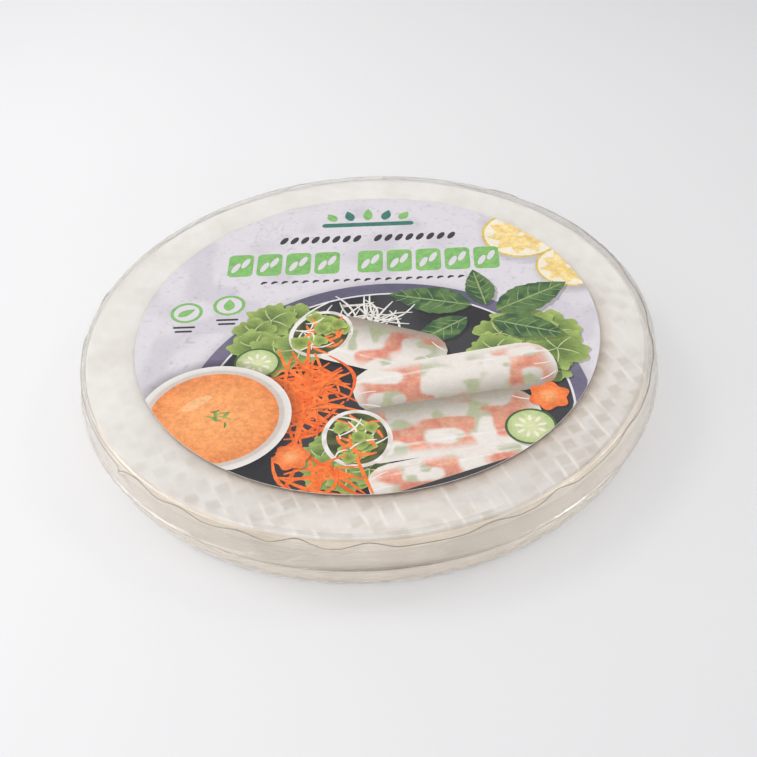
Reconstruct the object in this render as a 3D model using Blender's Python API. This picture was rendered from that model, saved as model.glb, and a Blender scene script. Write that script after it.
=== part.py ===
"""Sealed round pack of rice paper: a clear tray and lid, a shrink band, a printed label, and the sheets.

Metres, +Z up. The origin is the centre of the pack's underside. The tray, the lid and the label are
turned from profiles. The sheets and the band, whose outlines are uneven, are lofted through rings.
"""

import math

import bmesh
import bpy

MM = 0.001
SEGMENTS = 76
GAP = 0.3 * MM

# Clear plastic case
WALL = 0.5 * MM
CREST_HEIGHT = 25.6 * MM
CREST_RADIUS = 111.1 * MM
CREST_WIDTH = 2.0 * MM
PANEL_DROP = 0.5 * MM
LID_RADIUS = 112.2 * MM
SKIRT_RADIUS = 113.6 * MM
LIP_RADIUS = 114.3 * MM
LIP_HEIGHT = 0.9 * MM
SKIRT_DEPTH = 12.3 * MM
TRAY_RADIUS = 110.8 * MM
TRAY_MOUTH_RADIUS = 111.4 * MM
TRAY_HEIGHT = 20.3 * MM
TRAY_FILLET = 4.9 * MM
FOOT_RADIUS = 96.0 * MM
FLOOR_RISE = 0.6 * MM

# Sheets
SHEET_RADIUS = 110.0 * MM
SHEET_COUNT = 33
SHEET_PITCH = 0.67 * MM
SHEET_THICKNESS = 0.3 * MM
SHEET_WAVE = 0.25 * MM
TIERS = 6
STACK_FOOT_RADIUS = 108.2 * MM
OUTLINE_SWING = 0.35 * MM
TOP_SHEET_SHIFT = 0.8 * MM

# Printed label, stuck on the lid a little behind its centre
LABEL_RADIUS = 91.5 * MM
LABEL_THICKNESS = 0.25 * MM
LABEL_OFFSET = 1.3 * MM

# Shrink band round the joint of lid and tray: it laps over the rim, most at +X, and its hem hugs the tray
FILM = 0.25 * MM
LAP_LEAST = 0.8 * MM
LAP_MOST = 2.4 * MM
LAP_SWING = 0.5 * MM
TUCK_IN = 1.5 * MM
TUCK_DOWN = 2.0 * MM
HEM_HEIGHT = 6.2 * MM
HEM_SWING = 1.0 * MM

FLOOR_TOP = FLOOR_RISE + WALL
STACK_BOTTOM = FLOOR_TOP + GAP
STACK_TOP = STACK_BOTTOM + (SHEET_COUNT - 1) * SHEET_PITCH + SHEET_THICKNESS
TOP_SHEET_LEVEL = STACK_TOP + GAP + SHEET_WAVE + SHEET_THICKNESS / 2
LIP_BOTTOM = CREST_HEIGHT - SKIRT_DEPTH


def clear_scene():
    for obj in list(bpy.data.objects):
        bpy.data.objects.remove(obj)


def material(name, colour, roughness, alpha=1.0):
    made = bpy.data.materials.new(name)
    made.use_nodes = True
    shader = made.node_tree.nodes["Principled BSDF"]
    shader.inputs["Base Color"].default_value = (*colour, 1.0)
    shader.inputs["Roughness"].default_value = roughness
    shader.inputs["Metallic"].default_value = 0.0
    shader.inputs["Alpha"].default_value = alpha
    return made


def arc(centre_r, centre_z, radius, start, end, steps):
    """Points (r, z) on a round corner, from start to end degrees above the outward direction."""
    angles = [math.radians(start + (end - start) * k / steps) for k in range(steps + 1)]
    return [(centre_r + radius * math.cos(a), centre_z + radius * math.sin(a)) for a in angles]


def add_object(name, mesh, finish):
    mesh.materials.append(finish)
    made = bpy.data.objects.new(name, mesh)
    bpy.context.scene.collection.objects.link(made)
    return made


def turned(name, profile, finish):
    """A body turned about Z from a profile (r, z) that starts and ends on the axis."""
    mesh = bpy.data.meshes.new(name)
    points = [(r, 0.0, z) for r, z in profile]
    mesh.from_pydata(points, [(k, k + 1) for k in range(len(points) - 1)], [])
    made = add_object(name, mesh, finish)
    screw = made.modifiers.new("turn", "SCREW")
    screw.axis = "Z"
    screw.steps = SEGMENTS
    screw.render_steps = SEGMENTS
    screw.use_merge_vertices = True
    screw.merge_threshold = 0.00001
    screw.use_smooth_shade = True
    return made


def lofted(name, rings, finish, closed=False, centres=None):
    """A body skinned over rings of points. It closes on itself, or on one centre point at each end."""
    shape = bmesh.new()
    loops = [[shape.verts.new(point) for point in ring] for ring in rings]
    pairs = list(zip(loops, loops[1:]))
    if closed:
        pairs.append((loops[-1], loops[0]))
    for lower, upper in pairs:
        for k in range(SEGMENTS):
            after = (k + 1) % SEGMENTS
            shape.faces.new((lower[k], lower[after], upper[after], upper[k]))
    for loop, centre in zip((loops[0], loops[-1]), centres or ()):
        hub = shape.verts.new(centre)
        for k in range(SEGMENTS):
            shape.faces.new((loop[k], loop[(k + 1) % SEGMENTS], hub))
    bmesh.ops.recalc_face_normals(shape, faces=shape.faces)
    mesh = bpy.data.meshes.new(name)
    shape.to_mesh(mesh)
    shape.free()
    mesh.shade_smooth()
    mesh.set_sharp_from_angle(angle=math.radians(40))
    return add_object(name, mesh, finish)


def ring(radius, height):
    """A ring of points; radius and height are functions of the angle."""
    angles = [math.tau * k / SEGMENTS for k in range(SEGMENTS)]
    return [(radius(a) * math.cos(a), radius(a) * math.sin(a), height(a)) for a in angles]


def build_tray(finish):
    fillet_in = TRAY_FILLET - WALL
    corner_r = TRAY_RADIUS - TRAY_FILLET
    profile = [
        (0.0, FLOOR_TOP),
        (FOOT_RADIUS - WALL, FLOOR_TOP),
        (FOOT_RADIUS + 2 * WALL, WALL),
        *arc(corner_r, TRAY_FILLET, fillet_in, -90, 0, 4),
        (TRAY_MOUTH_RADIUS - WALL, TRAY_HEIGHT),
        (TRAY_MOUTH_RADIUS, TRAY_HEIGHT),
        *arc(corner_r, TRAY_FILLET, TRAY_FILLET, 0, -90, 4),
        (FOOT_RADIUS + WALL, 0.0),
        (FOOT_RADIUS - WALL, FLOOR_RISE),
        (0.0, FLOOR_RISE),
    ]
    return turned("case_tray", profile, finish)


def build_lid(finish):
    panel = CREST_HEIGHT - PANEL_DROP
    crest_start = CREST_RADIUS - CREST_WIDTH
    shoulder = LID_RADIUS - CREST_RADIUS
    profile = [
        (0.0, panel),
        (crest_start - 2 * PANEL_DROP, panel),
        (crest_start, CREST_HEIGHT),
        *arc(CREST_RADIUS, CREST_HEIGHT - shoulder, shoulder, 90, 0, 3),
        (SKIRT_RADIUS, LIP_BOTTOM + LIP_HEIGHT),
        (LIP_RADIUS, LIP_BOTTOM + LIP_HEIGHT / 2),
        (LIP_RADIUS, LIP_BOTTOM),
        (SKIRT_RADIUS - WALL, LIP_BOTTOM),
        (LID_RADIUS - WALL, CREST_HEIGHT - shoulder),
        (CREST_RADIUS - WALL / 2, CREST_HEIGHT - WALL),
        (crest_start, CREST_HEIGHT - WALL),
        (crest_start - 2 * PANEL_DROP, panel - WALL),
        (0.0, panel - WALL),
    ]
    return turned("case_lid", profile, finish)


def build_label(finish):
    bottom = CREST_HEIGHT - PANEL_DROP + GAP
    top = bottom + LABEL_THICKNESS
    profile = [(0.0, top), (LABEL_RADIUS, top), (LABEL_RADIUS, bottom), (0.0, bottom)]
    label = turned("printed_label", profile, finish)
    label.location = (0.0, LABEL_OFFSET, 0.0)
    return label


def outline(tier):
    """The stack's radius at one tier: the sheets in it lie a little off centre and aren't quite round."""
    lean = math.radians(137.5 * tier)

    def radius(angle):
        off_centre = OUTLINE_SWING * math.cos(angle - lean)
        uneven = OUTLINE_SWING / 2 * math.sin(5 * angle + 2 * lean)
        foot = STACK_FOOT_RADIUS if tier == 0 else SHEET_RADIUS
        return foot - 1.5 * OUTLINE_SWING + off_centre + uneven

    return radius


def build_stack(finish):
    """All sheets below the top one, as one body out to their uneven edges."""
    tier_height = (STACK_TOP - STACK_BOTTOM) / TIERS
    rings = []
    for tier in range(TIERS):
        low = STACK_BOTTOM + tier * tier_height
        rings.append(ring(outline(tier), lambda a, z=low: z))
        rings.append(ring(outline(tier), lambda a, z=low + tier_height - SHEET_THICKNESS: z))
    rings.append(ring(outline(TIERS), lambda a: STACK_TOP))
    centres = [(0.0, 0.0, STACK_BOTTOM), (0.0, 0.0, STACK_TOP)]
    return lofted("rice_paper_stack", rings, finish, centres=centres)


def build_top_sheet(finish):
    """The sheet that lies free on the stack, a little to the left, warped into waves towards its edge."""
    spokes = (0.3, 0.6, 0.85, 1.0)

    def surface(share, side):
        def height(angle):
            wave = 0.6 * math.sin(3 * angle + 0.8) + 0.4 * math.sin(7 * angle)
            return TOP_SHEET_LEVEL + SHEET_WAVE * share * wave + side * SHEET_THICKNESS / 2

        return ring(lambda a: share * (SHEET_RADIUS - OUTLINE_SWING / 2 * (1 + math.cos(2 * a))), height)

    rings = [surface(share, -1) for share in spokes] + [surface(share, 1) for share in reversed(spokes)]
    centres = [(0.0, 0.0, TOP_SHEET_LEVEL + side * SHEET_THICKNESS / 2) for side in (-1, 1)]
    sheet = lofted("rice_paper_top_sheet", rings, finish, centres=centres)
    sheet.location = (-TOP_SHEET_SHIFT, 0.0, 0.0)
    return sheet


def build_band(finish):
    """A thin sleeve shrunk over the rim, the lid's lip and the tray's wall, wavy at both of its edges."""
    off = GAP + FILM / 2
    shoulder = LID_RADIUS - CREST_RADIUS
    chamfer = shoulder * (1 - math.cos(math.radians(45)))
    tray_slope = (TRAY_MOUTH_RADIUS - TRAY_RADIUS) / (TRAY_HEIGHT - TRAY_FILLET)
    hem_radius = TRAY_RADIUS + tray_slope * (HEM_HEIGHT - TRAY_FILLET) + off
    middle = [
        (CREST_RADIUS, CREST_HEIGHT + off),
        (LID_RADIUS - chamfer + off, CREST_HEIGHT - chamfer + off),
        (LID_RADIUS + off, CREST_HEIGHT - shoulder),
        (SKIRT_RADIUS + off, LIP_BOTTOM + LIP_HEIGHT + off),
        (LIP_RADIUS + off, LIP_BOTTOM + LIP_HEIGHT),
        (LIP_RADIUS + off, LIP_BOTTOM - GAP),
        (SKIRT_RADIUS - TUCK_IN, LIP_BOTTOM - TUCK_DOWN),
    ]

    def lap(angle):
        wave = 0.6 * math.sin(5 * angle + 1.0) + 0.4 * math.sin(11 * angle)
        reach = LAP_LEAST + (LAP_MOST - LAP_LEAST) * (1 + math.cos(angle)) / 2
        return CREST_RADIUS - reach + LAP_SWING * wave

    def hem(angle):
        return HEM_HEIGHT + HEM_SWING * (0.6 * math.sin(4 * angle + 2.0) + 0.4 * math.sin(9 * angle))

    def skin(side):
        """One face of the film: the path above, moved by half its thickness outwards or inwards."""
        last = len(middle) + 1
        path = [(middle[0][0] - LAP_LEAST, middle[0][1]), *middle, (hem_radius, HEM_HEIGHT)]
        rings = []
        for k, (r, z) in enumerate(path):
            before = path[max(k - 1, 0)]
            after = path[min(k + 1, last)]
            run = math.dist(before, after)
            out_r = r - side * (after[1] - before[1]) / run * FILM / 2
            out_z = z + side * (after[0] - before[0]) / run * FILM / 2
            if k == 0:
                rings.append(ring(lap, lambda a, z=out_z: z))
            elif k == last:
                rings.append(ring(lambda a, r=out_r: r, hem))
            else:
                rings.append(ring(lambda a, r=out_r: r, lambda a, z=out_z: z))
        return rings

    return lofted("shrink_band", skin(1) + skin(-1)[::-1], finish, closed=True)


def main():
    clear_scene()
    clear_plastic = material("clear_plastic", (0.93, 0.92, 0.90), 0.06, alpha=0.25)
    film = material("shrink_film", (0.95, 0.95, 0.95), 0.12, alpha=0.2)
    rice_paper = material("rice_paper", (0.80, 0.77, 0.72), 0.45)
    label_paper = material("label_paper", (0.76, 0.73, 0.75), 0.4)
    build_tray(clear_plastic)
    build_lid(clear_plastic)
    build_stack(rice_paper)
    build_top_sheet(rice_paper)
    build_label(label_paper)
    build_band(film)


main()
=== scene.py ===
"""Looks of a sealed round pack of rice paper wrappers.

Clear tray and lid, a wrinkled shrink band round their joint, a printed paper label, and the dried sheets,
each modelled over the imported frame. Metres, +Z up; the label is read from -Y.
"""

import math

import bpy
import numpy as np
from mathutils import Matrix, Vector
from mathutils.geometry import delaunay_2d_cdt


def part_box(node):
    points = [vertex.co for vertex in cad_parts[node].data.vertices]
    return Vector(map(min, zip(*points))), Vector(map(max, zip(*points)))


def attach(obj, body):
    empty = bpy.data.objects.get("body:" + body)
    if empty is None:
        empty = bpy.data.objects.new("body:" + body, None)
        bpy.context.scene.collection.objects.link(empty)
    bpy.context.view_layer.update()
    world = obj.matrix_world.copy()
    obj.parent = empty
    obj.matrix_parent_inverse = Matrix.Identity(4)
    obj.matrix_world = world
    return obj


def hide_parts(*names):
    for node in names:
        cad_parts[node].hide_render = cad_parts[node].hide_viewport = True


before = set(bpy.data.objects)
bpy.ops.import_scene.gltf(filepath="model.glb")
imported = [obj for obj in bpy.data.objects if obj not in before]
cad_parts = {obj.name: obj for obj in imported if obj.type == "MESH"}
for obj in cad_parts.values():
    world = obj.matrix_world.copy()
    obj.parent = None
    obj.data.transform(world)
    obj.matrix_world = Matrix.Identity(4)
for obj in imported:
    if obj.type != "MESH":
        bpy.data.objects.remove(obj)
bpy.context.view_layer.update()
MM = 0.001

# ---- sizes, from the frame
LID_LOW, LID_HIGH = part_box("case_lid")
TRAY_LOW, TRAY_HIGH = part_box("case_tray")
STACK_LOW, STACK_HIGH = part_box("rice_paper_stack")
SHEET_LOW, SHEET_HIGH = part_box("rice_paper_top_sheet")
LABEL_LOW, LABEL_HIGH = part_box("printed_label")
BAND_LOW, BAND_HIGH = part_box("shrink_band")

CREST = LID_HIGH[2]
LIP_RADIUS = LID_HIGH[0] - 0.1 * MM
LIP_BOTTOM = LID_LOW[2]
LIP_HEIGHT = 0.9 * MM
SHOULDER = 1.1 * MM
RIM_RADIUS = LIP_RADIUS - 2.1 * MM
SKIRT_RADIUS = LIP_RADIUS - 0.7 * MM
CREST_START = RIM_RADIUS - SHOULDER - 2.0 * MM
PANEL_DROP = 0.24 * MM
PANEL = CREST - PANEL_DROP
PLASTIC = 0.45 * MM

TRAY_MOUTH = TRAY_HIGH[0]
TRAY_TOP = TRAY_HIGH[2]
TRAY_WALL = TRAY_MOUTH - 0.6 * MM
TRAY_FILLET = 4.9 * MM
FLOOR_RISE = 0.6 * MM
FOOT_INNER = 96.0 * MM

SHEET_CENTRE = ((SHEET_LOW[0] + SHEET_HIGH[0]) / 2, (SHEET_LOW[1] + SHEET_HIGH[1]) / 2)
SHEET_RADIUS = (SHEET_HIGH[0] - SHEET_LOW[0]) / 2
STACK_RADIUS = STACK_HIGH[0]
LABEL_RADIUS = (LABEL_HIGH[0] - LABEL_LOW[0]) / 2
LABEL_CENTRE = ((LABEL_LOW[0] + LABEL_HIGH[0]) / 2, (LABEL_LOW[1] + LABEL_HIGH[1]) / 2)


# ---- small tools
def linear(red, green, blue):
    """An 8-bit screen colour as the linear values that shaders take."""
    shares = np.array([red, green, blue]) / 255.0
    return np.where(shares <= 0.04045, shares / 12.92, ((shares + 0.055) / 1.055) ** 2.4)


def waves(angle, terms, seed):
    """A smooth periodic wobble in about -1 to 1: a sum of cosines with whole numbers of turns."""
    random = np.random.default_rng(seed)
    total = np.zeros_like(angle)
    weight = 0.0
    for turns in terms:
        share = random.uniform(0.6, 1.0) / math.sqrt(turns)
        total += share * np.cos(turns * angle + random.uniform(0, math.tau))
        weight += share
    return total / weight


def smoothstep(low, high, value):
    share = np.clip((value - low) / (high - low), 0.0, 1.0)
    return share * share * (3 - 2 * share)


def rounded(corners, steps=5):
    """A path (r, z) whose corners (r, z, fillet) are rounded; a fillet of 0 keeps the corner."""
    path = []
    for k, (r, z, fillet) in enumerate(corners):
        here = np.array((r, z))
        if not fillet:
            path.append(here)
            continue
        before = np.array(corners[k - 1][:2]) - here
        after = np.array(corners[k + 1][:2]) - here
        before /= np.linalg.norm(before)
        after /= np.linalg.norm(after)
        half = math.acos(np.clip(before @ after, -1, 1)) / 2
        centre = here + (before + after) / np.linalg.norm(before + after) * fillet / math.sin(half)
        first = here + before * fillet / math.tan(half) - centre
        last = here + after * fillet / math.tan(half) - centre
        for share in np.linspace(0, 1, steps + 1):
            spoke = (1 - share) * first + share * last
            path.append(centre + spoke / np.linalg.norm(spoke) * fillet)
    return np.array(path)


def add_piece(name, points, faces, material, body="root"):
    mesh = bpy.data.meshes.new(name)
    mesh.from_pydata(np.asarray(points).tolist(), [], faces)
    mesh.materials.append(material)
    mesh.shade_smooth()
    piece = bpy.data.objects.new(name, mesh)
    bpy.context.scene.collection.objects.link(piece)
    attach(piece, body)
    return piece


def strip_faces(rows, columns, wrap_rows=False):
    """Quads over rows of columns points, each row closing on itself."""
    row = np.arange(rows if wrap_rows else rows - 1)[:, None]
    column = np.arange(columns)[None, :]
    after = (column + 1) % columns
    upper = (row + 1) % rows
    quads = np.stack([row * columns + column, row * columns + after,
                      upper * columns + after, upper * columns + column], axis=-1)
    return quads.reshape(-1, 4).tolist()


def hub_faces(row, columns, hub, flip):
    """Triangles from one closed row of points to a hub point."""
    start = row * columns
    fan = [(start + k, start + (k + 1) % columns, hub) for k in range(columns)]
    return [face[::-1] for face in fan] if flip else fan


def turn(path, segments, shift=None):
    """Rings (rows, segments, 3) of a path (r, z) turned about Z; shift(angle, r, z) gives (dr, dz)."""
    angle = np.arange(segments) * math.tau / segments
    r = np.repeat(path[:, :1], segments, axis=1)
    z = np.repeat(path[:, 1:], segments, axis=1)
    a = np.repeat(angle[None, :], len(path), axis=0)
    if shift:
        dr, dz = shift(a, r, z)
        r, z = r + dr, z + dz
    return np.stack([r * np.cos(a), r * np.sin(a), z], axis=-1)


def capped_body(rings, low_hub, high_hub):
    """Points and faces of a body over rings, closed by a hub at the first ring and one at the last."""
    rows, columns = rings.shape[:2]
    points = np.concatenate([rings.reshape(-1, 3), [low_hub, high_hub]])
    faces = strip_faces(rows, columns)
    faces += hub_faces(0, columns, rows * columns, flip=True)
    faces += hub_faces(rows - 1, columns, rows * columns + 1, flip=False)
    return points, faces


def thin_disc(x, y, z, centre, thickness):
    """Points and faces of a wavy disc over rings of points, with its middle at centre."""
    half = thickness / 2
    bottom = np.stack([x, y, z - half], axis=-1)
    top = np.stack([x, y, z + half], axis=-1)
    hubs = [(centre[0], centre[1], centre[2] + side * half) for side in (-1, 1)]
    return capped_body(np.concatenate([bottom, top[::-1]]), *hubs)


# ---- materials
class Nodes:
    """The node tree of a material or a world; add() makes a node and joins or sets its inputs."""

    def __init__(self, owner, output="OutputMaterial"):
        self.owner = owner
        owner.use_nodes = True
        self.tree = owner.node_tree
        self.tree.nodes.clear()
        self.output = self.add(output)

    def add(self, kind, inputs=None, **settings):
        node = self.tree.nodes.new("ShaderNode" + kind)
        for key, value in settings.items():
            setattr(node, key, value)
        for key, value in (inputs or {}).items():
            socket = node.inputs[key]
            if isinstance(value, bpy.types.NodeSocket):
                self.tree.links.new(value, socket)
            else:
                socket.default_value = value
        return node

    def place(self):
        return self.add("TexCoord").outputs["Object"]

    def axes(self, vector):
        return self.add("SeparateXYZ", {0: vector}).outputs

    def math(self, operation, first, second=0.0, third=0.0):
        return self.add("Math", {0: first, 1: second, 2: third}, operation=operation).outputs[0]

    def times(self, first, second, plus=0.0):
        """first times second, with plus added."""
        return self.math("MULTIPLY_ADD", first, second, plus)

    def mix(self, factor, first, second, blend="MIX"):
        node = self.add("Mix", {0: factor, 6: first, 7: second}, data_type="RGBA", blend_type=blend)
        return node.outputs[2]

    def noise(self, vector, scale, detail=2.0, roughness=0.5):
        inputs = {"Vector": vector, "Scale": scale, "Detail": detail, "Roughness": roughness}
        return self.add("TexNoise", inputs).outputs["Fac"]

    def ramp(self, value, low, high):
        """value taken from low..high to 0..1 with soft ends."""
        inputs = {"Value": value, "From Min": low, "From Max": high}
        return self.add("MapRange", inputs, interpolation_type="SMOOTHSTEP").outputs["Result"]

    def finish(self, shader):
        self.tree.links.new(shader, self.output.inputs["Surface"])
        return self.owner


def rgba(colour):
    return (*[float(c) for c in colour], 1.0)


def clear_plastic(name, tint, roughness, ripple_height, ripple_size, share):
    """Clear sheet: it refracts what is seen through it, and lets shadow and diffuse rays straight through.

    share is how much of it is plainly see-through, as sheet so thin hardly bends or mirrors the light.
    """
    nodes = Nodes(bpy.data.materials.new(name))
    place = nodes.place()
    ripple = nodes.noise(place, 1 / ripple_size, 3.0, 0.55)
    bump = nodes.add("Bump", {"Strength": 1.0, "Distance": ripple_height, "Height": ripple})
    smear = nodes.times(nodes.noise(place, 40.0, 3.0), 0.06, roughness)
    # The 'edge' attribute darkens the tint: on the film, its thick folded top edge; on the lid, a painted
    # shade along the lip's underside.
    edge = nodes.add("Attribute", attribute_name="edge").outputs["Fac"]
    body = nodes.mix(edge, rgba(tint), rgba(linear(150, 138, 128)))
    glass = nodes.add("BsdfPrincipled", {
        "Base Color": body, "Roughness": smear, "Transmission Weight": 1.0,
        "Normal": bump.outputs["Normal"],
    })
    glass.inputs["IOR"].default_value = 1.45
    passing = nodes.add("BsdfTransparent", {"Color": body})
    path = nodes.add("LightPath")
    unseen = nodes.math("MAXIMUM", path.outputs["Is Shadow Ray"], path.outputs["Is Diffuse Ray"])
    unseen = nodes.math("MAXIMUM", unseen, share)
    mixed = nodes.add("MixShader", {0: unseen, 1: glass.outputs[0], 2: passing.outputs[0]})
    return nodes.finish(mixed.outputs[0])


WEAVE_CELL = 5.9 * MM
WEAVE_TURN = math.radians(22)


def mat_imprint(nodes, place, turn_by, shift, cell):
    """(dark squares, light strip edges), each 0 to 1, of the woven mat that the sheet dried on."""
    spun = nodes.add("Mapping", {
        "Vector": place, "Rotation": (0.0, 0.0, turn_by), "Location": (shift, -shift, 0.0),
        "Scale": (math.pi / cell, math.pi / cell, 1.0),
    })
    axes = nodes.axes(spun.outputs[0])
    across = nodes.math("SINE", axes[0])
    along = nodes.math("SINE", axes[1])
    parity = nodes.ramp(nodes.times(across, along), 0.0, 0.12)
    nearest = nodes.math("MINIMUM", nodes.math("ABSOLUTE", across), nodes.math("ABSOLUTE", along))
    square = nodes.times(parity, nodes.ramp(nearest, 0.05, 0.70))
    edge = nodes.math("SUBTRACT", 1.0, nodes.ramp(nodes.math("ABSOLUTE", across), 0.0, 0.55))
    return square, edge


def label_shade(nodes, place):
    """The label's warm shade on the sheet, from its edge outwards, most on the side away from the key."""
    radial = nodes.add("VectorMath", {0: place, 1: (*LABEL_CENTRE, 0.0)}, operation="SUBTRACT")
    axes = nodes.axes(radial.outputs[0])
    flat = nodes.add("CombineXYZ", {0: axes[0], 1: axes[1]})
    away = nodes.add("VectorMath", {0: flat.outputs[0]}, operation="LENGTH").outputs["Value"]
    fading = nodes.ramp(away, LABEL_RADIUS - 1.0 * MM, LABEL_RADIUS + 7.5 * MM)
    near = nodes.math("SUBTRACT", 1.0, fading)
    lee = nodes.math("SUBTRACT", nodes.times(axes[0], 0.55), axes[1])
    return nodes.times(near, nodes.times(nodes.ramp(lee, -0.02, 0.09), 0.85, 0.15))


def rice_paper(name, relief):
    """Milky dried sheet: the squares of a woven mat, faint clouds, fibres and fine grain, with painted shade
    towards the front right and round the label.
    """
    nodes = Nodes(bpy.data.materials.new(name))
    place = nodes.place()
    warp = nodes.add("TexNoise", {"Vector": place, "Scale": 90.0, "Detail": 2.0})
    middle = (0.5, 0.5, 0.5)
    bend = nodes.add("VectorMath", {0: warp.outputs["Color"], 1: middle}, operation="SUBTRACT")
    bent = nodes.add("VectorMath", {0: bend.outputs[0], "Scale": 2.2 * MM}, operation="SCALE")
    drift = nodes.add("VectorMath", {0: place, 1: bent.outputs[0]}, operation="ADD").outputs[0]
    upper, upper_edge = mat_imprint(nodes, drift, -WEAVE_TURN, 0.0, WEAVE_CELL)
    lower, _ = mat_imprint(nodes, drift, 0.11 - WEAVE_TURN, 1.3, WEAVE_CELL * 1.04)
    spots = nodes.ramp(nodes.noise(place, 70.0, 2.0), 0.32, 0.60)
    axes = nodes.axes(place)
    # Painted shade: the face is darker, and its mat marks show more, towards the front right, away from the
    # key; towards the back left it stays pale, as under the lid's glare.
    aside = nodes.math("SUBTRACT", nodes.times(axes[0], 0.45), axes[1])
    front_right_shade = nodes.times(nodes.ramp(aside, -0.01, 0.11), 0.85, 0.15)
    facing = nodes.axes(nodes.add("NewGeometry").outputs["Normal"])
    flat = nodes.ramp(nodes.math("ABSOLUTE", facing[2]), 0.45, 0.85)
    front_right_shade = nodes.times(front_right_shade, flat)
    squares = nodes.math("MAXIMUM", upper, nodes.times(lower, 0.55))
    squares = nodes.times(nodes.times(squares, spots), front_right_shade)
    cloudy = nodes.noise(place, 55.0, 4.0, 0.6)
    fine = nodes.noise(place, 1100.0, 2.0)
    ground = nodes.mix(front_right_shade, rgba(linear(232, 231, 229)), rgba(linear(212, 208, 204)))
    top = nodes.mix(squares, ground, rgba(linear(190, 182, 172)))
    tone = nodes.mix(flat, rgba(linear(255, 241, 221)), top)
    tone = nodes.mix(nodes.ramp(cloudy, 0.30, 0.80), tone, rgba(linear(238, 235, 231)), "MULTIPLY")
    broken = nodes.ramp(nodes.noise(place, 95.0, 3.0), 0.42, 0.66)
    edges = nodes.times(nodes.times(upper_edge, front_right_shade), broken)
    tone = nodes.mix(nodes.times(edges, 0.5), tone, rgba(linear(246, 243, 239)))
    tone = nodes.mix(nodes.times(fine, 0.14), tone, rgba(linear(250, 248, 244)))
    tone = nodes.mix(label_shade(nodes, place), tone, rgba(linear(228, 212, 198)), "MULTIPLY")
    strips = nodes.add("TexWave", {
        "Vector": place, "Scale": 300.0, "Distortion": 4.0, "Detail": 2.0, "Detail Scale": 2.0,
    }, bands_direction="DIAGONAL")
    height = nodes.times(strips.outputs["Fac"], 0.3, fine)
    height = nodes.math("SUBTRACT", height, nodes.times(squares, 1.5))
    bump = nodes.add("Bump", {"Strength": 0.6, "Distance": relief, "Height": height})
    shader = nodes.add("BsdfPrincipled", {
        "Base Color": tone, "Roughness": nodes.times(cloudy, 0.2, 0.34),
        "Normal": bump.outputs["Normal"],
    })
    return nodes.finish(shader.outputs[0])


def printed_paper(name):
    """The label: its print is a colour attribute, under a satin coat with the fibre of coated paper."""
    nodes = Nodes(bpy.data.materials.new(name))
    place = nodes.place()
    ink = nodes.add("Attribute", attribute_name="print").outputs["Color"]
    grain = nodes.noise(place, 1600.0, 2.0)
    fibre = nodes.noise(place, 420.0, 4.0, 0.65)
    tone = nodes.mix(nodes.times(grain, 0.03), ink, rgba(linear(255, 255, 255)))
    tone = nodes.mix(nodes.times(fibre, 0.05), tone, rgba(linear(110, 104, 108)))
    strength = nodes.add("SeparateColor", {0: ink}, mode="HSV").outputs[1]
    speckle = nodes.math("SUBTRACT", nodes.noise(place, 800.0, 4.0, 0.7), 0.5)
    patchy = nodes.math("SUBTRACT", nodes.noise(place, 260.0, 3.0, 0.6), 0.5)
    mottle = nodes.math("ADD", nodes.times(speckle, 1.1), nodes.times(patchy, 0.8))
    mottle = nodes.times(mottle, nodes.times(strength, 0.9, 0.06), 1.0)
    grey = nodes.add("CombineColor", {0: mottle, 1: mottle, 2: mottle}).outputs[0]
    tone = nodes.mix(1.0, tone, grey, "MULTIPLY")
    tone = nodes.mix(1.0, tone, rgba((0.79, 0.785, 0.80)), "MULTIPLY")
    bump = nodes.add("Bump", {"Strength": 0.35, "Distance": 0.02 * MM, "Height": fibre})
    rough = nodes.times(fibre, 0.15, 0.42)
    shader = nodes.add("BsdfPrincipled", {
        "Base Color": tone, "Roughness": rough, "Normal": bump.outputs["Normal"],
    })
    shader.inputs["Specular IOR Level"].default_value = 0.14
    return nodes.finish(shader.outputs[0])


def lit_floor(name):
    """Pale floor that also glows a little, as a light tent's does, most at the left of the pack."""
    nodes = Nodes(bpy.data.materials.new(name))
    place = nodes.place()
    axes = nodes.axes(place)
    aside = nodes.math("ADD", axes[0], 0.16)
    aside = nodes.math("SQRT", nodes.times(aside, aside, 0.003))
    back = nodes.times(axes[1], axes[1])
    glow = nodes.times(aside, -0.47, 0.445)
    glow = nodes.math("MAXIMUM", nodes.times(back, -0.5, glow), 0.1)
    away = nodes.add("VectorMath", {0: place}, operation="LENGTH").outputs["Value"]
    far = nodes.ramp(away, 0.75, 1.6)
    glow = nodes.math("ADD", nodes.times(glow, nodes.math("SUBTRACT", 1.0, far)),
                      nodes.times(far, 0.42))
    mottle = nodes.mix(nodes.noise(place, 6.0, 2.0), rgba((0.40, 0.40, 0.405)), rgba((0.385, 0.385, 0.39)))
    shader = nodes.add("BsdfPrincipled", {
        "Base Color": mottle, "Roughness": 0.6, "Emission Color": (0.995, 0.99, 1.0, 1.0),
        "Emission Strength": glow,
    })
    shader.inputs["Specular IOR Level"].default_value = 0.2
    return nodes.finish(shader.outputs[0])


# ---- sheets
def weave_relief(x, y):
    """Height, -1 to 1, of a plain-woven mat's imprint: on each square one strip arches over the other."""
    c, s = math.cos(WEAVE_TURN), math.sin(WEAVE_TURN)
    u, v = (x * c + y * s) / WEAVE_CELL, (-x * s + y * c) / WEAVE_CELL
    column, row = np.floor(u), np.floor(v)
    across, along = 2 * (u - column) - 1, 2 * (v - row) - 1
    over = ((column + row) % 2) < 0.5
    arch = np.where(over, (1 - across ** 4) * (1 - along ** 2), (1 - along ** 4) * (1 - across ** 2))
    return np.where(over, 1, -1) * arch


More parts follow.
